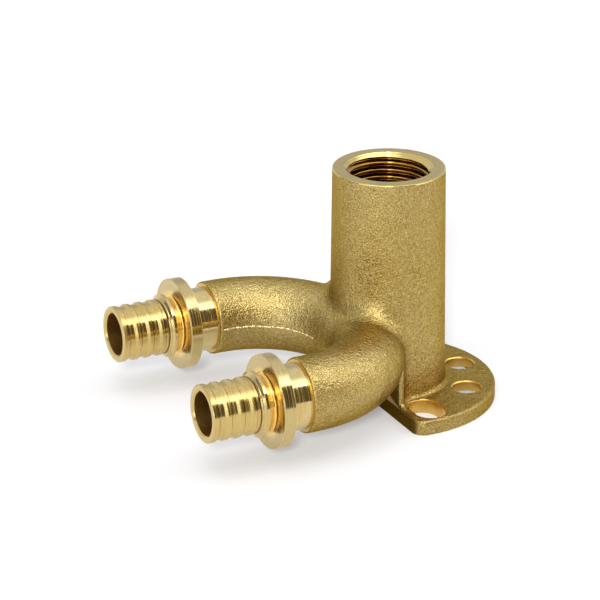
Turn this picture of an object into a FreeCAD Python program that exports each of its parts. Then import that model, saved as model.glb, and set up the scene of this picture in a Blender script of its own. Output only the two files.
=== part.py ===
"""Brass wall plate elbow: one casting with a threaded socket, two arms in a bow and a fixing plate.

Millimetres. The origin is on the socket's axis at the wall face, +Z runs out of the wall along the
socket, the pipe spigots point to -X and the fixing plate reaches to +X. The part is the same on both
sides of the plane y = 0.
"""
import FreeCAD, Part

import math
import os

V = FreeCAD.Vector

# Socket: the female thread G 1/2 and the drafted barrel around it
THREAD_DIAMETER = 20.955
THREAD_LENGTH = 20.0
THREAD_RUNOUT = 2.0
MOUTH_CHAMFER = 0.3
SOCKET_WALL = 3.27
SOCKET_HEIGHT = 59.0
SOCKET_DRAFT = 0.67
RIM_BREAK = 0.3
CHAMBER_STEP = 2.0
CHAMBER_RISE = 1.2

# Bow: the bent pipe whose two arms carry the spigots
ARM_DIAMETER = 18.27
ARM_WALL = 3.4
ARM_SPACING = 53.2
ARM_STRAIGHT = 2.8
ARM_CLEARANCE = 3.46
ARM_EDGE = 0.6
BOW_STRAIGHT = 3.8
BOW_INSET = 4.84
BOW_BLEND = 5.2
SKIRT_DEPTH = 5.64

# Fixing plate: a round disc with a flat side under the bow, three holes joined by a groove and two slots
PLATE_THICKNESS = 3.6
PLATE_CORNER = 3.0
PLATE_EDGE = 0.8
FOOT_BLEND = 1.3
HOLE_DIAMETER = 7.2
HOLE_ANGLE = 43.0
HOLE_LAND = 2.46
HOLE_RIM = 2.55
HOLE_BREAK = 0.25
GROOVE_DEPTH = 1.1
GROOVE_LEDGE = 0.6
SLOT_WIDTH = 7.4
SLOT_LENGTH = 11.4
SLOT_LAND = 1.16
SLOT_CLEARANCE = 2.8
SLOT_RIM = 1.4

# Turned ends: shank, flange and ribbed spigot
SHANK_DIAMETER = 16.0
SHANK_LENGTH = 5.7
FLANGE_DIAMETER = 22.7
FLANGE_THICKNESS = 3.06
FLANGE_EDGE = 0.25
RELIEF_DIAMETER = 13.4
RELIEF_LENGTH = 2.12
RELIEF_FILLET = 0.6
COLLAR_DIAMETER = 15.8
COLLAR_CREST = 0.8
COLLAR_BEVEL = 0.5
COLLAR_STEP_DIAMETER = 14.4
COLLAR_STEP = 0.12
COLLAR_LEAD = 0.45
COLLAR_ROOT = 1.0
RIB_DIAMETER = 14.0
RIB_DEPTH = 0.38
RIB_COUNT = 3
RIB_BACK = 0.08
RIB_CREST = 0.9
RIB_BEVEL = 0.7
RIB_ROOT = 1.6
END_LAND = 1.45
END_EDGE = 0.2
SPIGOT_BORE = 10.6
BORE_CHAMFER = 0.35

# Sizes that follow from the ones above
DRAFT_SLOPE = math.tan(math.radians(SOCKET_DRAFT))
THREAD_RADIUS = THREAD_DIAMETER / 2
THREAD_END = SOCKET_HEIGHT - THREAD_LENGTH
RIM_RADIUS = THREAD_RADIUS + SOCKET_WALL
FOOT_RADIUS = RIM_RADIUS + SOCKET_HEIGHT * DRAFT_SLOPE
CHAMBER_RADIUS = THREAD_RADIUS - CHAMBER_STEP
ARM_RADIUS = ARM_DIAMETER / 2
PASSAGE_RADIUS = ARM_RADIUS - ARM_WALL
ARM_HEIGHT = PLATE_THICKNESS + ARM_CLEARANCE + ARM_RADIUS
CHAMBER_FLOOR = ARM_HEIGHT - PASSAGE_RADIUS + CHAMBER_RISE
ARM_Y = ARM_SPACING / 2
BACK_Y = BOW_STRAIGHT / 2
BEND_RADIUS = ARM_Y - BACK_Y
BOW_X = BOW_INSET - FOOT_RADIUS
BEND_X = BOW_X - BEND_RADIUS
ARM_END_X = BEND_X - ARM_STRAIGHT
PLATE_FLAT = SKIRT_DEPTH - ARM_RADIUS - BOW_X
SEAM_HEIGHT = PLATE_THICKNESS + FOOT_BLEND + (ARM_CLEARANCE - FOOT_BLEND) / 2
HOLE_RADIUS = HOLE_DIAMETER / 2
HOLE_CIRCLE = FOOT_RADIUS + HOLE_LAND + HOLE_RADIUS
SLOT_RADIUS = SLOT_WIDTH / 2
SLOT_RUN = SLOT_LENGTH / 2 - SLOT_RADIUS
SKIRT_REACH = BEND_RADIUS + ARM_RADIUS
SKIRT_BY_SLOT = BACK_Y + math.sqrt(SKIRT_REACH ** 2 - (BEND_X + SLOT_RADIUS) ** 2)
SLOT_Y = max(FOOT_RADIUS + SLOT_LAND + SLOT_LENGTH / 2, SKIRT_BY_SLOT + SLOT_CLEARANCE + SLOT_RUN)
PLATE_RADIUS = SLOT_Y + SLOT_LENGTH / 2 + SLOT_RIM
PLATE_X = HOLE_CIRCLE + HOLE_RADIUS + HOLE_RIM - PLATE_RADIUS

X_AXIS = V(1, 0, 0)
Y_AXIS = V(0, 1, 0)
Z_AXIS = V(0, 0, 1)
SIDES = (-1, 1)
NEAR = 1e-3


def edges_where(shape, test):
    """Edges whose two ends and middle all pass the test."""
    found = []
    for edge in shape.Edges:
        first, last = edge.FirstParameter, edge.LastParameter
        if all(test(edge.valueAt(place)) for place in (first, (first + last) / 2, last)):
            found.append(edge)
    return found


def on_skin(shape, point):
    """True where a point lies on a solid's surface."""
    return shape.Shells[0].distToShape(Part.Vertex(point))[0] < NEAR


def on_flat(point):
    """True where a point lies in the plane of the plate's flat side."""
    return abs(point.x + PLATE_FLAT) < NEAR


def upright(edges):
    """The edges that run along Z."""
    return [edge for edge in edges if edge.BoundBox.ZLength > edge.Length - NEAR]


def cut_flat(shape, top):
    """A solid with everything beyond the plane of the flat side taken off up to a height."""
    box = shape.BoundBox
    corner = V(-PLATE_FLAT - box.XLength, box.YMin, box.ZMin)
    return shape.cut(Part.makeBox(box.XLength, box.YLength, top - box.ZMin, corner))


def disc(radius, centre, normal):
    """Round face of a given radius."""
    return Part.Face(Part.Wire(Part.makeCircle(radius, centre, normal)))


def bow_bar(radius):
    """Round bar of a given radius along the bow: arm, bend, back, bend, arm."""
    z = ARM_HEIGHT
    arm = V(ARM_STRAIGHT, 0, 0)
    pieces = [
        disc(radius, V(ARM_END_X, -ARM_Y, z), X_AXIS).extrude(arm),
        disc(radius, V(BEND_X, -ARM_Y, z), X_AXIS).revolve(V(BEND_X, -BACK_Y, z), Z_AXIS, 90),
        disc(radius, V(BOW_X, -BACK_Y, z), Y_AXIS).extrude(V(0, BOW_STRAIGHT, 0)),
        disc(radius, V(BOW_X, BACK_Y, z), Y_AXIS).revolve(V(BEND_X, BACK_Y, z), Z_AXIS, 90),
        disc(radius, V(ARM_END_X, ARM_Y, z), X_AXIS).extrude(arm),
    ]
    return pieces[0].fuse(pieces[1:]).removeSplitter()


def bow():
    """Outer form of the bow, with its two arm ends rounded."""
    bar = bow_bar(ARM_RADIUS)
    ends = edges_where(bar, lambda p: abs(p.x - ARM_END_X) < NEAR)
    return bar.makeFillet(ARM_EDGE, ends)


def barrel(bottom, top):
    """Length of the socket's drafted outside between two heights."""
    radii = [RIM_RADIUS + (SOCKET_HEIGHT - z) * DRAFT_SLOPE for z in (bottom, top)]
    return Part.makeCone(radii[0], radii[1], top - bottom, V(0, 0, bottom))


def skirt(bottom, top):
    """Length of the wall that runs straight down from the widest line of the bow to the plate."""
    height = top - bottom
    bends = [Part.makeCylinder(SKIRT_REACH, height, V(BEND_X, side * BACK_Y, bottom)) for side in SIDES]
    back = Part.makeBox(SKIRT_REACH, BOW_STRAIGHT, height, V(BEND_X, -BACK_Y, bottom))
    return cut_flat(back.fuse(bends).removeSplitter(), top)


def plate():
    """Round disc with a flat side and rounded corners."""
    body = cut_flat(Part.makeCylinder(PLATE_RADIUS, PLATE_THICKNESS, V(PLATE_X, 0, 0)), PLATE_THICKNESS)
    return body.makeFillet(PLATE_CORNER, upright(edges_where(body, on_flat)))


def foot():
    """Plate with the lowest length of barrel and skirt, blended into it and rounded all round."""
    column = cut_flat(barrel(0, SEAM_HEIGHT), SEAM_HEIGHT)
    wall = skirt(0, SEAM_HEIGHT)
    post = column.fuse(wall).removeSplitter()
    post = post.makeFillet(BOW_BLEND, edges_where(post, lambda p: on_skin(column, p) and on_skin(wall, p)))
    body = post.fuse(plate()).removeSplitter()

    def on_seat(p):
        return abs(p.z - PLATE_THICKNESS) < NEAR and on_skin(post, p)

    def on_upper_flat(p):
        return on_flat(p) and p.z > PLATE_THICKNESS - NEAR

    body = body.makeFillet(FOOT_BLEND, edges_where(body, on_seat))
    rim = [edge for edge in edges_where(body, on_upper_flat) if edge.BoundBox.ZMin < SEAM_HEIGHT - NEAR]
    return body.makeFillet(PLATE_EDGE, rim)


def upper_body():
    """Barrel, skirt and bow above the foot, with one cast radius all round where they meet."""
    socket = barrel(SEAM_HEIGHT, SOCKET_HEIGHT)
    socket = socket.makeFillet(RIM_BREAK, edges_where(socket, lambda p: abs(p.z - SOCKET_HEIGHT) < NEAR))
    wall = skirt(SEAM_HEIGHT, ARM_HEIGHT)
    wall = wall.makeFillet(PLATE_EDGE, upright(edges_where(wall, on_flat)))
    arms = wall.fuse(bow()).removeSplitter()
    body = cut_flat(socket, ARM_HEIGHT).fuse(arms).removeSplitter()
    return body.makeFillet(BOW_BLEND, edges_where(body, lambda p: on_skin(socket, p) and on_skin(arms, p)))


def turned_profile():
    """Half section of a turned end: distance from the arm's end and radius, and where its fillet starts."""
    rib = RIB_DIAMETER / 2
    root = rib - RIB_DEPTH
    relief = RELIEF_DIAMETER / 2
    shank = SHANK_DIAMETER / 2
    flange = FLANGE_DIAMETER / 2
    collar = COLLAR_DIAMETER / 2
    step = COLLAR_STEP_DIAMETER / 2
    points = [(0, 0), (0, shank)]
    at = SHANK_LENGTH
    points += [(at, shank), (at, flange - FLANGE_EDGE), (at + FLANGE_EDGE, flange)]
    at += FLANGE_THICKNESS
    points += [(at - FLANGE_EDGE, flange), (at, flange - FLANGE_EDGE), (at, relief + RELIEF_FILLET)]
    fillet_start = len(points) - 1
    points += [(at + RELIEF_FILLET, relief)]
    at += RELIEF_LENGTH
    points += [(at, relief), (at + RIB_BACK, collar)]
    for length, radius in ((COLLAR_CREST, collar), (COLLAR_BEVEL, step), (COLLAR_STEP, step),
                           (COLLAR_LEAD, root), (COLLAR_ROOT, root)):
        at += length
        points += [(at, radius)]
    for _ in range(RIB_COUNT):
        points += [(at + RIB_BACK, rib)]
        for length, radius in ((RIB_CREST, rib), (RIB_BEVEL, root), (RIB_ROOT, root)):
            at += length
            points += [(at, radius)]
    points += [(at + RIB_BACK, rib)]
    at += END_LAND
    points += [(at - END_EDGE, rib), (at, rib - END_EDGE), (at, 0)]
    return points, fillet_start


TURNED_LENGTH = turned_profile()[0][-1][0]


def turned_end(side):
    """Solid shank, flange and ribbed spigot at one arm's end."""
    points, fillet_start = turned_profile()
    y = side * ARM_Y
    corners = [V(ARM_END_X - at, y, ARM_HEIGHT + radius) for at, radius in points]
    lines = []
    for index, corner in enumerate(corners):
        following = corners[(index + 1) % len(corners)]
        if index == fillet_start:
            inward = RELIEF_FILLET * (1 - math.sqrt(0.5))
            middle = V(corner.x - inward, y, following.z + inward)
            lines.append(Part.Arc(corner, middle, following).toShape())
        else:
            lines.append(Part.LineSegment(corner, following).toShape())
    return Part.Face(Part.Wire(lines)).revolve(V(ARM_END_X, y, ARM_HEIGHT), X_AXIS, 360)


def waterway():
    """Everything that is hollow: threaded mouth, chamber, passage of the bow and spigot bores."""
    chamber_top = THREAD_END - THREAD_RUNOUT
    hollows = [
        Part.makeCone(THREAD_RADIUS, THREAD_RADIUS + MOUTH_CHAMFER, MOUTH_CHAMFER,
                      V(0, 0, SOCKET_HEIGHT - MOUTH_CHAMFER)),
        Part.makeCylinder(THREAD_RADIUS, THREAD_LENGTH, V(0, 0, THREAD_END)),
        Part.makeCone(CHAMBER_RADIUS, THREAD_RADIUS, THREAD_RUNOUT, V(0, 0, chamber_top)),
        Part.makeCylinder(CHAMBER_RADIUS, chamber_top - CHAMBER_FLOOR, V(0, 0, CHAMBER_FLOOR)),
        bow_bar(PASSAGE_RADIUS),
    ]
    bore = SPIGOT_BORE / 2
    for side in SIDES:
        end = V(ARM_END_X - TURNED_LENGTH, side * ARM_Y, ARM_HEIGHT)
        hollows.append(Part.makeCylinder(bore, TURNED_LENGTH, end, X_AXIS))
        hollows.append(Part.makeCone(bore + BORE_CHAMFER, bore, BORE_CHAMFER, end, X_AXIS))
    return hollows


def slot_outline(centre, run, radius, z):
    """Closed outline of a slot along Y whose end centres lie a run to either side, or of a round hole."""
    middle = V(centre.x, centre.y, z)
    if run == 0:
        return Part.Wire(Part.makeCircle(radius, middle, Z_AXIS))
    across, along, tip = V(radius, 0, 0), V(0, run, 0), V(0, run + radius, 0)
    return Part.Wire([
        Part.LineSegment(middle + across - along, middle + across + along).toShape(),
        Part.Arc(middle + across + along, middle + tip, middle - across + along).toShape(),
        Part.LineSegment(middle - across + along, middle - across - along).toShape(),
        Part.Arc(middle - across - along, middle - tip, middle + across - along).toShape(),
    ])


def hole_cutter(centre, run, radius):
    """Cutter for one fixing hole or slot, with its upper rim broken."""
    shaft = Part.Face(slot_outline(centre, run, radius, 0)).extrude(V(0, 0, PLATE_THICKNESS + FOOT_BLEND))
    lower = slot_outline(centre, run, radius, PLATE_THICKNESS - HOLE_BREAK)
    upper = slot_outline(centre, run, radius + HOLE_BREAK, PLATE_THICKNESS)
    return shaft.fuse(Part.makeLoft([lower, upper], True, True))


def back_groove():
    """Cutters for the curved groove on the wall face that joins the three round holes."""
    reach = HOLE_RADIUS + GROOVE_LEDGE
    turn = math.radians(HOLE_ANGLE)
    start = V(math.cos(turn), -math.sin(turn), 0)
    radii = (HOLE_CIRCLE - reach, HOLE_CIRCLE + reach)
    section = Part.Face(Part.makePolygon([
        start * radii[0], start * radii[1], start * radii[1] + V(0, 0, GROOVE_DEPTH),
        start * radii[0] + V(0, 0, GROOVE_DEPTH), start * radii[0]]))
    cutters = [section.revolve(V(0, 0, 0), Z_AXIS, 2 * HOLE_ANGLE)]
    for side in SIDES:
        end = V(HOLE_CIRCLE * math.cos(turn), side * HOLE_CIRCLE * math.sin(turn), 0)
        cutters.append(Part.makeCylinder(reach, GROOVE_DEPTH, end))
    return cutters


def fixing_holes():
    """Cutters for the round holes on their circle and for the slot on each side."""
    cutters = []
    for angle in (-HOLE_ANGLE, 0, HOLE_ANGLE):
        turn = math.radians(angle)
        centre = V(HOLE_CIRCLE * math.cos(turn), HOLE_CIRCLE * math.sin(turn), 0)
        cutters.append(hole_cutter(centre, 0, HOLE_RADIUS))
    for side in SIDES:
        cutters.append(hole_cutter(V(0, side * SLOT_Y, 0), SLOT_RUN, SLOT_RADIUS))
    return cutters


def elbow():
    """The whole fitting as one solid."""
    body = foot().fuse(upper_body()).removeSplitter()
    body = body.fuse([turned_end(side) for side in SIDES]).removeSplitter()
    for cutter in waterway() + fixing_holes() + back_groove():
        body = body.cut(cutter)
    return body.removeSplitter()


os.makedirs("parts", exist_ok=True)
elbow().exportStep("parts/elbow_body.step")
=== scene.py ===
"""Looks of a cast brass wall plate elbow: blasted casting, bright turned ends and a cut thread."""

import math

import bpy
import numpy as np
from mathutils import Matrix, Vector, noise


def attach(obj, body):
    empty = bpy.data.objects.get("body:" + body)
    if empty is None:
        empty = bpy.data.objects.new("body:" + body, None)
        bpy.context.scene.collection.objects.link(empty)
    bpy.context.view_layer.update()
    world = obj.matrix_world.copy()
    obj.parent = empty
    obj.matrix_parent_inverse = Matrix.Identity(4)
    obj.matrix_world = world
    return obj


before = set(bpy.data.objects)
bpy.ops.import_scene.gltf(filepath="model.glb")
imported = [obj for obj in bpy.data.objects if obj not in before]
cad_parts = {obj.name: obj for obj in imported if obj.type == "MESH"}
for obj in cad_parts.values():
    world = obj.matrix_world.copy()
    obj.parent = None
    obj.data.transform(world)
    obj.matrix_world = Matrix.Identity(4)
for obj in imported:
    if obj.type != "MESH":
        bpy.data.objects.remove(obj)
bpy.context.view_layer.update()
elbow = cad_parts["elbow_body"]

MM = 0.001

# Sizes of the casting, in millimetres
SOCKET_HEIGHT = 59.0
RIM_BREAK = 0.31
CHAMBER_TOP = 37.0
FOOT_RADIUS = 14.437
PLATE_THICKNESS = 3.6
HOLE_CIRCLE = 20.4975
HOLE_ANGLE = 43.0
HOLE_RADIUS = 3.6
HOLE_BREAK = 0.25
GROOVE_DEPTH = 1.1
SLOT_Y = 21.2975
SLOT_RUN = 2.0
SLOT_RADIUS = 3.7
SLOT_RISE = 1.4
ARM_HEIGHT = 16.195
ARM_RADIUS = 9.135
ARM_Y = 26.6
ARM_EDGE = 0.6
ARM_END_X = -37.097
BACK_Y = 1.9
BEND_RADIUS = 24.7
BEND_X = -34.297
SKIRT_X = -6.1
PASSAGE_RADIUS = 5.735
SPIGOT_END_X = -61.897
SPIGOT_BORE_RADIUS = 5.3
SPIGOT_BORE_BREAK = 0.4

# Places on a turned end, in millimetres from the arm's end towards the tip
FLANGE_FACE = 8.75
RELIEF_END = 10.85
RIBS_START = 12.6
RIB_PITCH = 3.2
# Concave corners that get a thin line of painted shade
PAINTED_SHADE_CORNERS = (10.82, 12.68, *(13.66 + RIB_PITCH * rib for rib in range(4)))

# Broken edges of a turned end: distance from the arm's end and radius
FLANGE_EDGE_RADIUS = 11.28
COLLAR_RADIUS = 7.9
STEP_RADIUS = 7.2
RIB_RADIUS = 7.0
TURNED_EDGES = (
    (5.83, FLANGE_EDGE_RADIUS), (8.63, FLANGE_EDGE_RADIUS), (11.68, COLLAR_RADIUS), (12.30, STEP_RADIUS),
    *((14.65 + RIB_PITCH * rib, RIB_RADIUS) for rib in range(3)))
EDGE_RADIUS = 0.08
EDGE_SINK = 0.04

# Half-inch pipe thread and the ring that carries it, in millimetres
THREAD_RADIUS = 10.4775
THREAD_LENGTH = 20.0
THREAD_PITCH = 1.8143
THREAD_DEPTH = 1.11
THREAD_RUN_OUT = 2.5
MOUTH_FLARE = 0.26
MOUTH_DEPTH = 1.3
RING_DROP = 0.32
RING_END_GAP = 0.05
RING_GAP = 0.006
RING_WALL = 0.05

# Form of the thread: share of the pitch that is flat at crest and root, and how round the flanks are
THREAD_FLAT = 0.14
THREAD_ROUNDING = 0.35

# Flash along the parting line, in millimetres: width and height on each side of the arms, and the rest
INNER_FLASH = (0.80, 0.44)
OUTER_FLASH = (0.50, 0.16)
FLASH_SINK = 0.06
FLASH_DRIFT = 0.16
SKIRT_OVERLAP = 1.5

# Unevenness of the flash: waves per millimetre, seeds, least share of its height, and points of run-out
RAG_WAVES = 1.1
BEAD_WAVES = 3.1
DRIFT_WAVES = 0.25
INNER_SEED = 2.0
OUTER_SEED = 9.0
BEAD_SEED_STEP = 7.0
DRIFT_SEED_STEP = 3.0
FLASH_LEAST = 0.15
FLASH_TAPER = 6.0

# Middle of the socket's pitted patch, in millimetres
PITTED_PLACE = (-10.2, -9.0, 36.8)

# Colours of the cast skin, and of the shade, reflection and glints painted on it
OLIVE_GOLD = (0.440, 0.318, 0.096)
PALE_GOLD = (0.480, 0.360, 0.128)
BLOTCH_GOLD = (0.415, 0.285, 0.070)
# Painted shade and reflection round the socket's foot, where it meets the plate
FOOT_PAINTED_SHADE = (0.42, 0.245, 0.038)
PLATE_BROWN = (0.30, 0.19, 0.038)
# Painted shade on faces that look down
UNDERSIDE_PAINTED_SHADE = (0.30, 0.175, 0.035)
ARM_END_GOLD = (0.44, 0.29, 0.055)
PITTED_BROWN = (0.34, 0.205, 0.038)
BARREL_GOLD = (0.42, 0.285, 0.058)
GRAIN_HOLLOW = (0.17, 0.100, 0.012)
GRAIN_CREST = (1.0, 0.80, 0.36)
# Painted glints in the grain
PAINTED_GLINT_GOLD = (1.0, 0.86, 0.50)
PIT_BROWN = (0.13, 0.075, 0.02)
# Painted shade on the face under the bow
UNDER_BOW_PAINTED_SHADE = (0.07, 0.038, 0.007)
CAST_EDGE_TINT = (0.50, 0.39, 0.22, 1.0)
FLASH_DULL = (0.62, 0.44, 0.14)
FLASH_BRIGHT = (1.0, 0.84, 0.46)
CORED_DARK = (0.46, 0.265, 0.07)
CORED_LIGHT = (0.60, 0.38, 0.11)

# Colours of the machined brass, and of the shade and reflection painted on it
TURNED_BRIGHT = (0.68, 0.53, 0.235)
TURNED_DULL = (0.61, 0.445, 0.16)
FACED_BRIGHT = (0.67, 0.51, 0.175)
FACED_DULL = (0.58, 0.43, 0.13)
DRILLED_BRIGHT = (0.72, 0.46, 0.11)
DRILLED_DULL = (0.64, 0.38, 0.07)
# Thread inside the socket, darker and browner than the other machined brass: painted shade and reflection
TAPPED_PAINTED_SHADE_BRIGHT = (0.43, 0.235, 0.045)
TAPPED_PAINTED_SHADE_DULL = (0.35, 0.175, 0.03)
EDGE_BRIGHT = (0.80, 0.62, 0.27)
EDGE_DULL = (0.66, 0.49, 0.18)
SPECK_BROWN = (0.30, 0.20, 0.06)
STREAK_BROWN = (0.34, 0.22, 0.06)
RIB_GOLD = (0.56, 0.39, 0.10)
# Painted amber reflection in the groove between flange and collar, lighter than the brass
RELIEF_PAINTED_REFLECTION = (0.95, 0.62, 0.165)
FLANGE_GOLD = (0.545, 0.42, 0.18)
# Painted shade and reflection in the corner at the arm's end
SHOULDER_PAINTED_SHADE_AND_REFLECTION = (0.60, 0.40, 0.09)
# Painted shade in the concave corners of a turned end
CORNER_PAINTED_SHADE = (0.20, 0.11, 0.024)

# Camera in millimetres and degrees, and floor in metres
CAMERA_TARGET = (-22.34, 3.20, 26.97)
CAMERA_DISTANCE = 784.4
CAMERA_AZIMUTH = -25.704
CAMERA_ELEVATION = 22.078
CAMERA_LENS = 193.26
CAMERA_SENSOR = 36.0
FLOOR_REACH = 6.0
FLOOR_DROP = 0.00002
FLOOR_COLOUR = (0.394, 0.387, 0.378, 1.0)
FLOOR_GLOW = 0.28

# Lamps: name, place and width in metres, and power in watts
LAMPS = (
    ("lamp_by_camera", (-3.18, -5.58, 3.24), 0.9, 600.0),
    ("lamp_overhead", (-2.4, -1.0, 6.6), 1.6, 60.0),
)

# Studio light: colours, the strength of each part of it, and the lean of the strip's plane
BANK_WHITE = (0.97, 1.0, 1.09)
FRONT_WARM = (1.0, 0.84, 0.58)
GAP_DARKNESS = 0.75
LEFT_DARKNESS = 0.85
LOW_LEFT_GLOW = 0.6
STRIP_GLOW = 4.0
STRIP_LEAN = 0.482


# Node helpers

def add(tree, kind, values=None, **settings):
    """New node in a tree, with its settings and its unlinked input values."""
    made = tree.nodes.new(kind)
    for name, value in settings.items():
        setattr(made, name, value)
    for name, value in (values or {}).items():
        made.inputs[name].default_value = value
    return made


def join(tree, source, target):
    """Link from an output socket to an input socket."""
    tree.links.new(source, target)


def calc(tree, operation, *values):
    """Math node on sockets or numbers; returns its output."""
    made = add(tree, "ShaderNodeMath", operation=operation)
    for socket, value in zip(made.inputs, values):
        if isinstance(value, (int, float)):
            socket.default_value = value
        else:
            join(tree, value, socket)
    return made.outputs[0]


def both(tree, first, *others):
    """Product of two or more masks; returns its output."""
    for other in others:
        first = calc(tree, "MULTIPLY", first, other)
    return first


def ramp(tree, value, low, high, to_low=0.0, to_high=1.0):
    """Smooth step of a value from one range to another; returns its output."""
    made = add(tree, "ShaderNodeMapRange",
               {"From Min": low, "From Max": high, "To Min": to_low, "To Max": to_high},
               interpolation_type="SMOOTHSTEP")
    join(tree, value, made.inputs["Value"])
    return made.outputs["Result"]


def fall(tree, value, low, high):
    """Smooth step from one below a range to zero above it; returns its output."""
    return ramp(tree, value, low, high, 1.0, 0.0)


def ramp_mm(tree, value, low, high):
    """Smooth step up over a range of places in millimetres; returns its output."""
    return ramp(tree, value, low * MM, high * MM)


def fall_mm(tree, value, low, high):
    """Smooth step down over a range of places in millimetres; returns its output."""
    return fall(tree, value, low * MM, high * MM)


def blend(tree, factor, first, second):
    """Mix of two colours, each a socket or a colour; returns its output."""
    made = add(tree, "ShaderNodeMix", data_type="RGBA")
    for name, value in (("Factor", factor), ("A", first), ("B", second)):
        socket = next(s for s in made.inputs if s.name == name and s.enabled)
        if hasattr(value, "is_output"):
            join(tree, value, socket)
        else:
            socket.default_value = value if isinstance(value, float) else (*value, 1.0)
    return next(s for s in made.outputs if s.enabled)


def stain_and_painted_light(tree, colour, mask, share, tone):
    """Colour moved towards a tone by a share of a mask, for real stains and for painted shade, reflection
    and glints; returns its output.
    """
    return blend(tree, calc(tree, "MULTIPLY", mask, share), colour, tone)


def cloud(tree, vector, scale, detail=2.0, rough=0.5):
    """Noise value of about 0 to 1 at a scale in features per metre; returns its output."""
    made = add(tree, "ShaderNodeTexNoise", {"Scale": scale, "Detail": detail, "Roughness": rough})
    join(tree, vector, made.inputs["Vector"])
    return made.outputs["Fac"]


def scaled_cloud(tree, vector, scale, factor, detail, rough):
    """Noise value whose scale is a socket times a factor; returns its output."""
    made = add(tree, "ShaderNodeTexNoise", {"Detail": detail, "Roughness": rough})
    join(tree, vector, made.inputs["Vector"])
    join(tree, calc(tree, "MULTIPLY", scale, factor), made.inputs["Scale"])
    return made.outputs["Fac"]


def from_axis(tree, first, second):
    """Distance from an axis, from the two offsets across it; returns its output."""
    squares = [calc(tree, "MULTIPLY", part, part) for part in (first, second)]
    return calc(tree, "SQRT", calc(tree, "ADD", *squares))


def new_group(name, inputs, outputs):
    """Empty shader node group with its sockets; returns the tree and its two end nodes."""
    tree = bpy.data.node_groups.new(name, "ShaderNodeTree")
    for label, kind, default in inputs:
        socket = tree.interface.new_socket(label, in_out="INPUT", socket_type=kind)
        socket.default_value = default
    for label, kind in outputs:
        tree.interface.new_socket(label, in_out="OUTPUT", socket_type=kind)
    return tree, tree.nodes.new("NodeGroupInput"), tree.nodes.new("NodeGroupOutput")


def place(tree, group, values):
    """Copy of a group in a material, with its own values."""
    return add(tree, "ShaderNodeGroup", values, node_tree=group)


def surface_place(tree):
    """Position on the part, in metres, as a vector and as its three numbers."""
    spot = add(tree, "ShaderNodeTexCoord").outputs["Object"]
    split = add(tree, "ShaderNodeSeparateXYZ")
    join(tree, spot, split.inputs[0])
    return spot, split.outputs["X"], split.outputs["Y"], split.outputs["Z"]


def new_material(name):
    """Node material with one Principled shader; returns the material, its tree and the shader."""
    made = bpy.data.materials.new(name)
    made.use_nodes = True
    return made, made.node_tree, made.node_tree.nodes["Principled BSDF"]


# Effects that several finishes share

def blasted_grain():
    """Skin of a blasted sand casting: grain with painted glints, coarser lumps and clusters of small pits.
    """
    tree, inlet, outlet = new_group(
        "blasted_grain",
        (("Grain per Metre", "NodeSocketFloat", 2300.0), ("Pits per Metre", "NodeSocketFloat", 900.0),
         ("Pitting", "NodeSocketFloat", 0.0)),
        (("Height", "NodeSocketFloat"), ("Pits", "NodeSocketFloat"), ("Tone", "NodeSocketFloat"),
         ("Painted Glint", "NodeSocketFloat")))
    fine_height, lump_height, pit_depth = 0.8, 2.0, 0.8
    spot, _, _, _ = surface_place(tree)
    scale = inlet.outputs["Grain per Metre"]
    fine = scaled_cloud(tree, spot, scale, 1.0, 1.0, 0.5)
    glint = scaled_cloud(tree, spot, scale, 1.37, 1.0, 0.5)
    coarse = scaled_cloud(tree, spot, scale, 0.36, 2.0, 0.55)
    lumps = scaled_cloud(tree, spot, scale, 0.06, 2.0, 0.5)
    cluster = scaled_cloud(tree, spot, scale, 0.075, 1.0, 0.5)

    # A pit is the middle of a cell, and only some cells of a cluster have one
    cells = add(tree, "ShaderNodeTexVoronoi", {"Randomness": 1.0})
    join(tree, spot, cells.inputs["Vector"])
    join(tree, inlet.outputs["Pits per Metre"], cells.inputs["Scale"])
    chance = add(tree, "ShaderNodeSeparateColor")
    join(tree, cells.outputs["Color"], chance.inputs[0])
    cluster = calc(tree, "ADD", cluster, inlet.outputs["Pitting"])
    chosen = ramp(tree, calc(tree, "MULTIPLY_ADD", cluster, 2.2, chance.outputs[0]), 2.36, 2.46)
    pits = both(tree, fall(tree, cells.outputs["Distance"], 0.10, 0.38), chosen)

    height = calc(tree, "MULTIPLY_ADD", fine, fine_height, coarse)
    height = calc(tree, "MULTIPLY_ADD", lumps, lump_height, height)
    height = calc(tree, "MULTIPLY_ADD", pits, -pit_depth, height)
    tone = calc(tree, "MULTIPLY_ADD", coarse, 0.16, calc(tree, "MULTIPLY", fine, 0.84))
    join(tree, height, outlet.inputs["Height"])
    join(tree, pits, outlet.inputs["Pits"])
    join(tree, ramp(tree, tone, 0.32, 0.68), outlet.inputs["Tone"])
    # Painted glints: sparse bright dots for the colour
    join(tree, ramp(tree, glint, 0.63, 0.76), outlet.inputs["Painted Glint"])
    return tree


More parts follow.
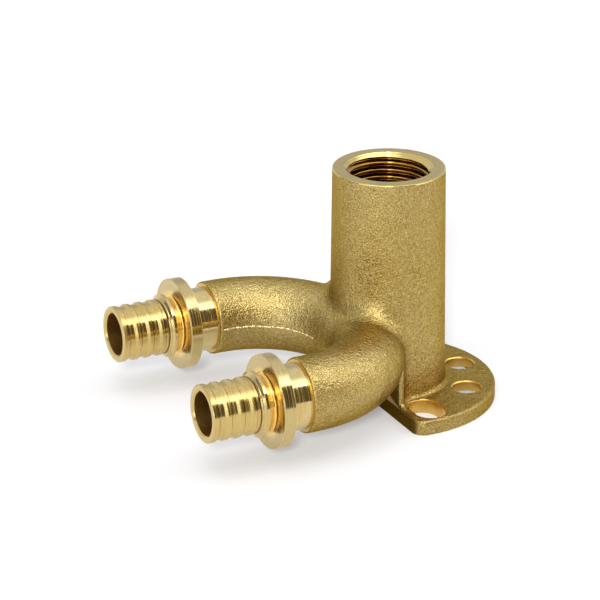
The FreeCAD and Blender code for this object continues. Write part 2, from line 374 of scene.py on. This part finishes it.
def turning_marks():
    """Fine rings that a turning tool leaves, along any coordinate that runs across them."""
    tree, inlet, outlet = new_group(
        "turning_marks",
        (("Across", "NodeSocketFloat", 0.0), ("Around", "NodeSocketVector", (0.0, 0.0, 0.0)),
         ("Marks per Metre", "NodeSocketFloat", 5200.0)),
        (("Height", "NodeSocketFloat"), ("Streak", "NodeSocketFloat")))
    slow = add(tree, "ShaderNodeVectorMath", {"Scale": 0.02}, operation="SCALE")
    join(tree, inlet.outputs["Around"], slow.inputs[0])
    shift = add(tree, "ShaderNodeCombineXYZ")
    join(tree, inlet.outputs["Across"], shift.inputs["X"])
    total = add(tree, "ShaderNodeVectorMath", operation="ADD")
    join(tree, shift.outputs[0], total.inputs[0])
    join(tree, slow.outputs[0], total.inputs[1])
    scale = inlet.outputs["Marks per Metre"]
    fine, broad, streak = (
        scaled_cloud(tree, total.outputs[0], scale, factor, 1.0, 0.6) for factor in (1.0, 0.22, 0.85))
    join(tree, calc(tree, "MULTIPLY_ADD", broad, 0.8, fine), outlet.inputs["Height"])
    join(tree, ramp(tree, streak, 0.46, 0.68), outlet.inputs["Streak"])
    return tree


GRAIN = blasted_grain()
MARKS = turning_marks()


# Finishes

def finish_shader(tree, shader, colour, rough, height, depth, strength=0.8):
    """Links the colour, roughness and height of a metal finish to its shader."""
    shader.inputs["Metallic"].default_value = 1.0
    join(tree, colour, shader.inputs["Base Color"])
    join(tree, rough, shader.inputs["Roughness"])
    bump = add(tree, "ShaderNodeBump", {"Strength": strength, "Distance": depth})
    join(tree, height, bump.inputs["Height"])
    join(tree, bump.outputs[0], shader.inputs["Normal"])


def cast_brass():
    """Blasted sand-cast brass: olive gold and browner on the plate, with painted glints, painted shade and
    reflection round the socket's foot, and painted shade on faces that look down and under the bow.
    """
    rough_low, rough_span, barrel_rough = 0.29, 0.10, 0.08
    made, tree, shader = new_material("cast_brass")
    spot, x, y, z = surface_place(tree)
    facing = add(tree, "ShaderNodeSeparateXYZ")
    join(tree, add(tree, "ShaderNodeNewGeometry").outputs["Normal"], facing.inputs[0])
    patches = cloud(tree, spot, 70.0, 3.0, 0.55)
    blotches = cloud(tree, spot, 240.0)

    # Where the skin is darker, browner or rougher, and where shade and reflection are painted
    apart = add(tree, "ShaderNodeVectorMath", operation="DISTANCE")
    join(tree, spot, apart.inputs[0])
    apart.inputs[1].default_value = [c * MM for c in PITTED_PLACE]
    from_pits = apart.outputs["Value"]
    from_socket = from_axis(tree, x, y)
    pitted = fall_mm(tree, from_pits, 0.5, 6.5)
    browned = fall_mm(tree, from_pits, 5.0, 30.0)
    # Painted shade and reflection low round the socket's foot
    painted_foot_shade = both(tree, fall_mm(tree, from_socket, FOOT_RADIUS + 0.5, FOOT_RADIUS + 5.0),
                   fall_mm(tree, z, 6.0, 14.0))
    on_plate = fall_mm(tree, z, PLATE_THICKNESS + 0.2, PLATE_THICKNESS + 1.2)
    # Painted shade on faces that look down
    painted_underside_shade = fall(tree, facing.outputs["Z"], -0.45, 0.02)
    by_arm_end = fall_mm(tree, x, ARM_END_X + 1.0, ARM_END_X + 4.5)
    # Painted shade on the face under the bow
    painted_shade_under_bow = both(tree, fall(tree, facing.outputs["X"], -0.95, -0.75), fall_mm(tree, z, 7.0, 13.0))
    on_barrel = both(tree, fall_mm(tree, from_socket, 14.6, 16.0), ramp_mm(tree, z, 24.0, 34.0))

    grain = place(tree, GRAIN, {"Grain per Metre": 2900.0, "Pits per Metre": 1400.0})
    join(tree, calc(tree, "MULTIPLY", pitted, 0.72), grain.inputs["Pitting"])
    colour = blend(tree, ramp(tree, patches, 0.35, 0.65), OLIVE_GOLD, PALE_GOLD)
    for mask, share, tone in (
            (ramp(tree, blotches, 0.50, 0.75), 0.40, BLOTCH_GOLD),
            (painted_foot_shade, 0.70, FOOT_PAINTED_SHADE),
            (on_plate, 0.62, PLATE_BROWN),
            (painted_underside_shade, 0.60, UNDERSIDE_PAINTED_SHADE),
            (by_arm_end, 0.45, ARM_END_GOLD),
            (pitted, 0.75, PITTED_BROWN),
            (browned, 0.65, BARREL_GOLD)):
        colour = stain_and_painted_light(tree, colour, mask, share, tone)
    hollow = blend(tree, 0.38, colour, GRAIN_HOLLOW)
    crest = blend(tree, 0.24, colour, GRAIN_CREST)
    colour = blend(tree, grain.outputs["Tone"], hollow, crest)
    # Painted glints, pits, and painted shade on the face under the bow
    for mask, tone in (
            (grain.outputs["Painted Glint"], PAINTED_GLINT_GOLD), (grain.outputs["Pits"], PIT_BROWN),
            (painted_shade_under_bow, UNDER_BOW_PAINTED_SHADE)):
        colour = stain_and_painted_light(tree, colour, mask, 0.85, tone)
    rough = calc(tree, "MULTIPLY_ADD", blotches, rough_span, rough_low)
    rough = calc(tree, "MULTIPLY_ADD", on_barrel, barrel_rough, rough)
    shader.inputs["Specular Tint"].default_value = CAST_EDGE_TINT
    finish_shader(tree, shader, colour, rough, grain.outputs["Height"], depth=0.00021, strength=1.0)
    return made


def from_arm_axis(tree, y, z):
    """Distance from the axis of the nearer arm; returns its output."""
    off_y = calc(tree, "SUBTRACT", calc(tree, "ABSOLUTE", y), ARM_Y * MM)
    return from_axis(tree, off_y, calc(tree, "SUBTRACT", z, ARM_HEIGHT * MM))


def along_arm(tree, x, y, z):
    """Coordinate across the tool rings about each arm's axis."""
    return calc(tree, "ADD", x, from_arm_axis(tree, y, z))


def along_socket(tree, x, y, z):
    """Coordinate across the tool rings about the socket's axis."""
    return calc(tree, "ADD", z, from_axis(tree, x, y))


def spigot_zones(tree, x, y, z, colour, rough):
    """Duller ribs and flange, a painted amber reflection in the groove, painted shade and reflection at the
    shoulder, and painted shade in the corners of a turned end.
    """

    def beyond(distance, blur):
        """One further from the arm's end than a distance, and zero nearer to it."""
        return fall_mm(tree, x, ARM_END_X - distance - blur, ARM_END_X - distance + blur)

    rib_rough, flange_rough = 0.08, 0.04
    off = from_arm_axis(tree, y, z)
    ribs = beyond(RIBS_START, 0.3)
    # Groove between flange and collar, which gets a painted amber reflection
    relief = calc(tree, "SUBTRACT", beyond(FLANGE_FACE, 0.05), beyond(RELIEF_END, 0.05))
    relief = both(tree, relief, fall_mm(tree, off, 7.5, 8.8))
    flange = ramp_mm(tree, off, 8.3, 9.3)
    # Painted shade and reflection in the corner where the turned end meets the arm
    shoulder = ramp_mm(tree, x, ARM_END_X - 0.25, ARM_END_X - 0.02)
    rough = calc(tree, "MULTIPLY_ADD", ribs, rib_rough, rough)
    rough = calc(tree, "MULTIPLY_ADD", flange, flange_rough, rough)
    for mask, share, tone in (
            (ribs, 0.5, RIB_GOLD), (relief, 0.9, RELIEF_PAINTED_REFLECTION), (flange, 0.75, FLANGE_GOLD),
            (shoulder, 0.75, SHOULDER_PAINTED_SHADE_AND_REFLECTION)):
        colour = stain_and_painted_light(tree, colour, mask, share, tone)
    # Thin lines of painted shade in the concave corners
    for corner in PAINTED_SHADE_CORNERS:
        apart = calc(tree, "ABSOLUTE", calc(tree, "SUBTRACT", x, (ARM_END_X - corner) * MM))
        colour = stain_and_painted_light(tree, colour, fall_mm(tree, apart, 0.07, 0.20), 0.9, CORNER_PAINTED_SHADE)
    return colour, rough


def turned_finish(name, across, bright, dull, rough_low, rough_span, depth, streak_rough=0.1, zones=None):
    """Turned brass whose tool rings run across a coordinate, stained a little here and there."""
    made, tree, shader = new_material(name)
    spot, x, y, z = surface_place(tree)
    marks = place(tree, MARKS, {"Marks per Metre": 3600.0})
    join(tree, across(tree, x, y, z), marks.inputs["Across"])
    join(tree, spot, marks.inputs["Around"])
    tarnish = cloud(tree, spot, 180.0, 3.0, 0.6)
    specks = cloud(tree, spot, 1500.0, 1.0)
    colour = blend(tree, ramp(tree, tarnish, 0.42, 0.75), bright, dull)
    colour = stain_and_painted_light(tree, colour, ramp(tree, specks, 0.70, 0.78), 0.6, SPECK_BROWN)
    colour = stain_and_painted_light(tree, colour, marks.outputs["Streak"], 0.12, STREAK_BROWN)
    rough = calc(tree, "MULTIPLY_ADD", tarnish, rough_span, rough_low)
    rough = calc(tree, "MULTIPLY_ADD", marks.outputs["Streak"], streak_rough, rough)
    if zones:
        colour, rough = zones(tree, x, y, z, colour, rough)
    finish_shader(tree, shader, colour, rough, marks.outputs["Height"], depth)
    return made


def cored_brass():
    """Dull brown brass of the cored waterway."""
    made, tree, shader = new_material("cored_brass")
    spot, _, _, _ = surface_place(tree)
    grain = place(tree, GRAIN, {"Grain per Metre": 1200.0, "Pits per Metre": 600.0})
    patches = cloud(tree, spot, 200.0, 3.0, 0.6)
    colour = blend(tree, patches, CORED_DARK, CORED_LIGHT)
    rough = calc(tree, "MULTIPLY_ADD", patches, 0.2, 0.26)
    finish_shader(tree, shader, colour, rough, grain.outputs["Height"], depth=0.00008)
    return made


def flash_brass():
    """Bright broken skin of the flash along the parting line."""
    made, tree, shader = new_material("flash_brass")
    grain = place(tree, GRAIN, {"Grain per Metre": 1800.0, "Pits per Metre": 900.0})
    colour = blend(tree, grain.outputs["Tone"], FLASH_DULL, FLASH_BRIGHT)
    rough = calc(tree, "MULTIPLY_ADD", grain.outputs["Tone"], -0.12, 0.36)
    finish_shader(tree, shader, colour, rough, grain.outputs["Height"], depth=0.00006)
    return made


def edge_brass():
    """Bright polished brass of the broken edges."""
    made, tree, shader = new_material("edge_brass")
    spot, _, _, _ = surface_place(tree)
    join(tree, blend(tree, cloud(tree, spot, 600.0), EDGE_BRIGHT, EDGE_DULL), shader.inputs["Base Color"])
    shader.inputs["Metallic"].default_value = 1.0
    shader.inputs["Roughness"].default_value = 0.12
    return made


CAST, TURNED, FACED, DRILLED, CORED, TAPPED = range(6)


def brass_finishes():
    """The casting's finishes, in the order of the numbers above."""
    return (
        cast_brass(),
        turned_finish("turned_brass", along_arm, TURNED_BRIGHT, TURNED_DULL,
                      rough_low=0.04, rough_span=0.06, depth=0.00006, streak_rough=0.22,
                      zones=spigot_zones),
        turned_finish("faced_brass", along_socket, FACED_BRIGHT, FACED_DULL,
                      rough_low=0.08, rough_span=0.08, depth=0.000006),
        turned_finish("drilled_brass", along_socket, DRILLED_BRIGHT, DRILLED_DULL,
                      rough_low=0.24, rough_span=0.12, depth=0.000008),
        cored_brass(),
        # Tapped thread, whose colours carry painted shade and reflection
        turned_finish("tapped_brass_painted_shade", along_socket, TAPPED_PAINTED_SHADE_BRIGHT, TAPPED_PAINTED_SHADE_DULL,
                      rough_low=0.05, rough_span=0.06, depth=0.000003),
    )


# Pieces

def dress_casting(finishes):
    """Gives each face of the casting the finish that its place on the part calls for."""
    near = 0.01
    facet_sag = 0.05
    above_plate = PLATE_THICKNESS + 0.1
    mesh = elbow.data
    mesh.materials.clear()
    for made in finishes:
        mesh.materials.append(made)
    count = len(mesh.polygons)
    centre = np.zeros(count * 3)
    normal = np.zeros(count * 3)
    mesh.polygons.foreach_get("center", centre)
    mesh.polygons.foreach_get("normal", normal)
    x, y, z = centre.reshape(-1, 3).T / MM
    upright = np.abs(normal.reshape(-1, 3)[:, 2]) < 0.95
    from_socket = np.hypot(x, y)
    from_arm = np.hypot(np.abs(y) - ARM_Y, z - ARM_HEIGHT)
    finish = np.full(count, CAST)
    finish[x < ARM_END_X + facet_sag] = TURNED
    finish[z > SOCKET_HEIGHT - RIM_BREAK] = FACED
    finish[z < near] = FACED
    in_thread = (z > CHAMBER_TOP - near) & (z < SOCKET_HEIGHT - RIM_BREAK)
    finish[in_thread & (from_socket < THREAD_RADIUS + near)] = TAPPED

    # Walls of the holes and slots in the plate
    in_plate = upright & (z > GROOVE_DEPTH - near) & (z < PLATE_THICKNESS + near)
    for angle in (-HOLE_ANGLE, 0.0, HOLE_ANGLE):
        turn = math.radians(angle)
        off = np.hypot(x - HOLE_CIRCLE * math.cos(turn), y - HOLE_CIRCLE * math.sin(turn))
        finish[in_plate & (off < HOLE_RADIUS + HOLE_BREAK + near)] = DRILLED
    slot_off = np.hypot(x, np.maximum(np.abs(np.abs(y) - SLOT_Y) - SLOT_RUN, 0.0))
    by_slot = upright & (z < PLATE_THICKNESS + SLOT_RISE)
    finish[by_slot & (slot_off < SLOT_RADIUS + HOLE_BREAK + near)] = DRILLED

    # Walls of the waterway
    from_bow = np.abs(np.hypot(x - BEND_X, np.abs(y) - BACK_Y) - BEND_RADIUS)
    in_bend = (x > BEND_X) & (np.hypot(from_bow, z - ARM_HEIGHT) < PASSAGE_RADIUS + facet_sag)
    in_arm = (x <= BEND_X) & (x > ARM_END_X - near) & (from_arm < PASSAGE_RADIUS + facet_sag)
    in_spigot = (x <= ARM_END_X) & (x > SPIGOT_END_X + SPIGOT_BORE_BREAK)
    in_spigot &= from_arm < SPIGOT_BORE_RADIUS + facet_sag
    in_chamber = (from_socket < THREAD_RADIUS) & (z < CHAMBER_TOP - near) & (z > above_plate)
    finish[in_bend | in_arm | in_spigot | in_chamber] = CORED
    mesh.polygons.foreach_set("material_index", finish.astype(np.int32))


def mesh_piece(name, points, faces, finish):
    """New smooth mesh object from points in millimetres, with one finish, carried by the part."""
    mesh = bpy.data.meshes.new(name)
    mesh.from_pydata([tuple(c * MM for c in p) for p in points], [], faces)
    mesh.validate()
    mesh.polygons.foreach_set("use_smooth", [True] * len(mesh.polygons))
    mesh.materials.append(finish)
    piece = bpy.data.objects.new(name, mesh)
    bpy.context.scene.collection.objects.link(piece)
    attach(piece, "root")
    return piece


def limit(value, low, high):
    """Value kept between two limits."""
    return min(max(value, low), high)


def thread_radius(z, share, bottom):
    """Inner radius of the thread's ring at a height and a share of a turn."""
    root = THREAD_RADIUS - RING_WALL
    flank = abs(2 * ((z / THREAD_PITCH - share) % 1.0) - 1)
    ridge = limit((flank - THREAD_FLAT) / (1 - 2 * THREAD_FLAT), 0.0, 1.0)
    rounded = ridge * ridge * (3 - 2 * ridge)
    ridge = rounded * THREAD_ROUNDING + ridge * (1 - THREAD_ROUNDING)
    fade = limit((z - bottom) / THREAD_RUN_OUT, 0.0, 1.0)
    ridge = ridge * fade + (1 - fade)
    mouth = THREAD_RADIUS + MOUTH_FLARE - (SOCKET_HEIGHT - z)
    return min(max(root - THREAD_DEPTH * ridge, mouth), root)


def cut_thread(finish, mouth_finish):
    """Ring with the socket's internal thread and its chamfered mouth, closed against the bore."""
    turns, rows = 168, 190
    top = SOCKET_HEIGHT - RING_DROP
    bottom = SOCKET_HEIGHT - THREAD_LENGTH + RING_END_GAP
    outer = THREAD_RADIUS - RING_GAP
    points = []
    for row in range(rows + 1):
        z = top + (bottom - top) * row / rows
        for step in range(turns):
            turn = 2 * math.pi * step / turns
            radius = thread_radius(z, step / turns, bottom)
            points.append((radius * math.cos(turn), radius * math.sin(turn), z))
    upper = len(points)
    lower = upper + turns
    for z in (top, bottom):
        for step in range(turns):
            turn = 2 * math.pi * step / turns
            points.append((outer * math.cos(turn), outer * math.sin(turn), z))
    faces = []
    for row in range(rows):
        for step in range(turns):
            a = row * turns + step
            b = row * turns + (step + 1) % turns
            faces.append((a, b, b + turns, a + turns))
    last = rows * turns
    for step in range(turns):
        following = (step + 1) % turns
        faces.append((step, upper + step, upper + following, following))
        faces.append((upper + step, lower + step, lower + following, upper + following))
        faces.append((last + following, lower + following, lower + step, last + step))
    piece = mesh_piece("socket_thread", points, faces, finish)
    piece.data.materials.append(mouth_finish)
    for face in piece.data.polygons:
        if face.center.z > (SOCKET_HEIGHT - MOUTH_DEPTH) * MM and face.normal.z > 0.5:
            face.material_index = 1


def round_edges(finish):
    """Thin rounded rings on the outer edges of both turned ends, where the tool broke them."""
    turns, section = 96, 8
    for side, label in ((1, "far"), (-1, "near")):
        points, faces = [], []
        for distance, radius in TURNED_EDGES:
            first = len(points)
            for step in range(turns):
                turn = 2 * math.pi * step / turns
                for part in range(section):
                    lean = 2 * math.pi * part / section
                    reach = radius - EDGE_SINK + EDGE_RADIUS * math.cos(lean)
                    points.append((ARM_END_X - distance + EDGE_RADIUS * math.sin(lean),
                                   side * ARM_Y + reach * math.cos(turn),
                                   ARM_HEIGHT + reach * math.sin(turn)))
            for step in range(turns):
                a = first + step * section
                b = first + (step + 1) % turns * section
                for part in range(section):
                    after = (part + 1) % section
                    faces.append((a + part, b + part, b + after, a + after))
        mesh_piece("turned_edges_" + label, points, faces, finish)


def bow_side(offset, turn_from, turn_to):
    """Points along one side of the bow in the parting plane, with the way outward at each."""
    arm_steps, bend_steps = 24, 160
    radius = BEND_RADIUS + offset
    start = ARM_END_X + ARM_EDGE
    path = []
    for step in range(arm_steps):
        path.append((start + (BEND_X - start) * step / arm_steps, BACK_Y + radius, 0.0, 1.0))
    for step in range(bend_steps + 1):
        turn = turn_from + (turn_to - turn_from) * step / bend_steps
        out_x, out_y = math.cos(turn), math.sin(turn)
        path.append((BEND_X + radius * out_x, BACK_Y + radius * out_y, out_x, out_y))
    return path


def wave(x, y, waves, layer):
    """Smooth noise from about -1 to 1 at a place in the parting plane."""
    return noise.noise(Vector((x * waves, y * waves, layer)))


def flash_line(name, path, side, inward, size, seed, finish):
    """Ragged raised bead that the two halves of the mould leave along a path in the parting plane."""
    section = 7
    width, height = size
    points = []
    for index, (x, y, out_x, out_y) in enumerate(path):
        rag = wave(x, y, RAG_WAVES, seed)
        beads = wave(x, y, BEAD_WAVES, seed + BEAD_SEED_STEP)
        drift = FLASH_DRIFT * wave(x, y, DRIFT_WAVES, seed + DRIFT_SEED_STEP)
        end = min(index, len(path) - 1 - index) / FLASH_TAPER
        lift = height * (0.75 + 0.5 * rag + 0.55 * beads)
        lift = max(lift, FLASH_LEAST * height) * min(end, 1.0)
        half = width * (0.8 + 0.45 * rag) / 2
        for step in range(section):
            across = step / (section - 1) * 2 - 1
            rise = lift * (1 - across * across) - FLASH_SINK
            push = -rise if inward else rise
            points.append((x + out_x * push, side * (y + out_y * push), ARM_HEIGHT + drift + across * half))
    rows = len(path)
    faces = []
    for row in range(rows - 1):
        a = row * section
        for step in range(section - 1):
            b = a + step
            faces.append((b, b + 1, b + 1 + section, b + section))
        faces.append((a + section - 1, a, a + section, a + 2 * section - 1))
    faces.append(tuple(range(section)))
    faces.append(tuple(range(rows * section - 1, (rows - 1) * section - 1, -1)))
    mesh_piece(name, points, faces, finish)


def lay_parting_lines(inner_finish, outer_finish):
    """Flash on the inner and outer sides of both arms."""
    inner_end = math.radians(4.0)
    outer_end = math.acos((SKIRT_X - SKIRT_OVERLAP - BEND_X) / (BEND_RADIUS + ARM_RADIUS))
    for side, label in ((1, "far"), (-1, "near")):
        inner = bow_side(-ARM_RADIUS, math.pi / 2, inner_end)
        flash_line("parting_line_inner_" + label, inner, side, True, INNER_FLASH, INNER_SEED + side,
                   inner_finish)
        outer = bow_side(ARM_RADIUS, math.pi / 2, outer_end)
        flash_line("parting_line_outer_" + label, outer, side, False, OUTER_FLASH, OUTER_SEED + side,
                   outer_finish)


# Stage

def set_camera():
    """Camera at the photograph's viewing angle."""
    data = bpy.data.cameras.new("camera")
    data.sensor_width = CAMERA_SENSOR
    data.lens = CAMERA_LENS
    data.clip_start = 0.01
    data.clip_end = 50.0
    camera = bpy.data.objects.new("camera", data)
    bpy.context.scene.collection.objects.link(camera)
    turn, lift = math.radians(CAMERA_AZIMUTH), math.radians(CAMERA_ELEVATION)
    back = Vector((math.sin(turn) * math.cos(lift), -math.cos(turn) * math.cos(lift), math.sin(lift)))
    camera.location = (Vector(CAMERA_TARGET) + back * CAMERA_DISTANCE) * MM
    camera.rotation_mode = "QUATERNION"
    camera.rotation_quaternion = (-back).to_track_quat("-Z", "Y")
    bpy.context.scene.camera = camera


def set_floor():
    """Wide white floor under the part."""
    mesh = bpy.data.meshes.new("floor")
    corners = [(x * FLOOR_REACH, y * FLOOR_REACH, 0) for x, y in ((-1, -1), (1, -1), (1, 1), (-1, 1))]
    mesh.from_pydata(corners, [], [(0, 1, 2, 3)])
    made, tree, shader = new_material("white_floor")
    shader.inputs["Base Color"].default_value = FLOOR_COLOUR
    shader.inputs["Roughness"].default_value = 0.9
    shader.inputs["Specular IOR Level"].default_value = 0.0
    shader.inputs["Emission Color"].default_value = (1.0, 1.0, 1.0, 1.0)
    path = add(tree, "ShaderNodeLightPath")
    seen = calc(tree, "MAXIMUM", path.outputs["Is Camera Ray"], path.outputs["Is Glossy Ray"])
    seen = calc(tree, "MAXIMUM", seen, path.outputs["Is Transmission Ray"])
    join(tree, calc(tree, "MULTIPLY", seen, FLOOR_GLOW), shader.inputs["Emission Strength"])
    mesh.materials.append(made)
    floor = bpy.data.objects.new("floor", mesh)
    floor.location.z = -FLOOR_DROP
    bpy.context.scene.collection.objects.link(floor)


def bank_light(tree, over, x):
    """Bank overhead, brightest near its front edge, and a back that is darkest right of the middle."""
    bank = both(tree, ramp(tree, over, 60.0, 92.0, 3.45, 0.98), ramp(tree, over, 46.0, 56.0, 0.45, 1.0))
    grey = calc(tree, "SUBTRACT", ramp(tree, x, -0.10, 0.30, 0.05, 0.36),
                ramp(tree, x, 0.45, 0.60, 0.0, 0.22))
    return calc(tree, "SUBTRACT", bank, both(tree, ramp(tree, over, 125.0, 150.0), grey))


def front_light(tree, x):
    """Dark front, lighter towards the left and bright at its right end."""
    left_part = ramp(tree, x, -0.20, 0.05, 0.60, 0.13)
    return calc(tree, "MAXIMUM", left_part, ramp(tree, x, 0.49, 0.66, 0.13, 1.0))


def left_shade(tree, x, y, z):
    """Dark left under the bank, which reaches round to the back more faintly."""
    left = calc(tree, "MAXIMUM", ramp(tree, z, 0.20, 0.28), ramp(tree, y, -0.02, 0.06))
    left = both(tree, left, fall(tree, x, -0.72, -0.64))
    back_left = both(tree, fall(tree, x, -0.58, -0.42), ramp(tree, y, 0.08, 0.28, 0.0, 0.30))
    return both(tree, calc(tree, "MAXIMUM", left, back_left), fall(tree, z, 0.36, 0.52))


def low_left_light(tree, x, y, z):
    """Low light at the front left."""
    return both(tree, fall(tree, x, -0.84, -0.78), fall(tree, y, -0.02, 0.06), fall(tree, z, 0.16, 0.22))


def set_studio():
    """White studio: a bright bank overhead, a grey back, and a dark front and left under the bank.

    A gap in the bank holds a narrow strip of light, and a low light stands at the front left.
    """
    world = bpy.data.worlds.new("studio")
    bpy.context.scene.world = world
    world.use_nodes = True
    tree = world.node_tree
    tree.nodes.clear()
    split = add(tree, "ShaderNodeSeparateXYZ")
    join(tree, add(tree, "ShaderNodeTexCoord").outputs["Generated"], split.inputs[0])
    x, y, z = split.outputs

    # Degrees from the front over the top, and the distance to the side of the strip's plane
    over = calc(tree, "DEGREES", calc(tree, "ARCTAN2", z, calc(tree, "MULTIPLY", y, -1.0)))
    beside = calc(tree, "ABSOLUTE", calc(tree, "MULTIPLY_ADD", y, -STRIP_LEAN, x))

    front = both(tree, fall(tree, over, 53.0, 55.5), ramp(tree, x, -0.46, -0.30))
    gap = both(tree, ramp(tree, over, 60.0, 70.0), fall(tree, over, 94.0, 106.0),
               ramp(tree, beside, 0.10, 0.16, GAP_DARKNESS, 0.0))
    strip = both(tree, fall(tree, beside, 0.06, 0.10), ramp(tree, over, 22.0, 26.0),
                 fall(tree, over, 100.0, 108.0))
    open_bank = calc(tree, "SUBTRACT", 1.0, calc(tree, "ADD", front, gap))
    level = both(tree, bank_light(tree, over, x), open_bank)
    level = calc(tree, "MULTIPLY_ADD", front, front_light(tree, x), level)
    level = both(tree, level, calc(tree, "MULTIPLY_ADD", left_shade(tree, x, y, z), -LEFT_DARKNESS, 1.0))
    level = calc(tree, "MULTIPLY_ADD", low_left_light(tree, x, y, z), LOW_LEFT_GLOW, level)
    level = calc(tree, "MULTIPLY_ADD", strip, STRIP_GLOW, level)

    background = add(tree, "ShaderNodeBackground")
    join(tree, level, background.inputs["Strength"])
    join(tree, blend(tree, front, BANK_WHITE, FRONT_WARM), background.inputs["Color"])
    output = add(tree, "ShaderNodeOutputWorld")
    join(tree, background.outputs[0], output.inputs["Surface"])


def hang_lamp(name, location, size, energy):
    """Soft round lamp aimed at the part, which reflections don't show."""
    data = bpy.data.lights.new(name, "AREA")
    data.shape = "DISK"
    data.size = size
    data.energy = energy
    lamp = bpy.data.objects.new(name, data)
    lamp.location = location
    lamp.rotation_mode = "QUATERNION"
    lamp.rotation_quaternion = (-lamp.location).to_track_quat("-Z", "Y")
    lamp.visible_glossy = False
    bpy.context.scene.collection.objects.link(lamp)


casting_finishes = brass_finishes()
dress_casting(casting_finishes)
cut_thread(casting_finishes[TAPPED], casting_finishes[FACED])
round_edges(edge_brass())
lay_parting_lines(flash_brass(), casting_finishes[CAST])
set_camera()
set_floor()
set_studio()
for lamp_settings in LAMPS:
    hang_lamp(*lamp_settings)
bpy.context.scene.view_settings.view_transform = "Standard"
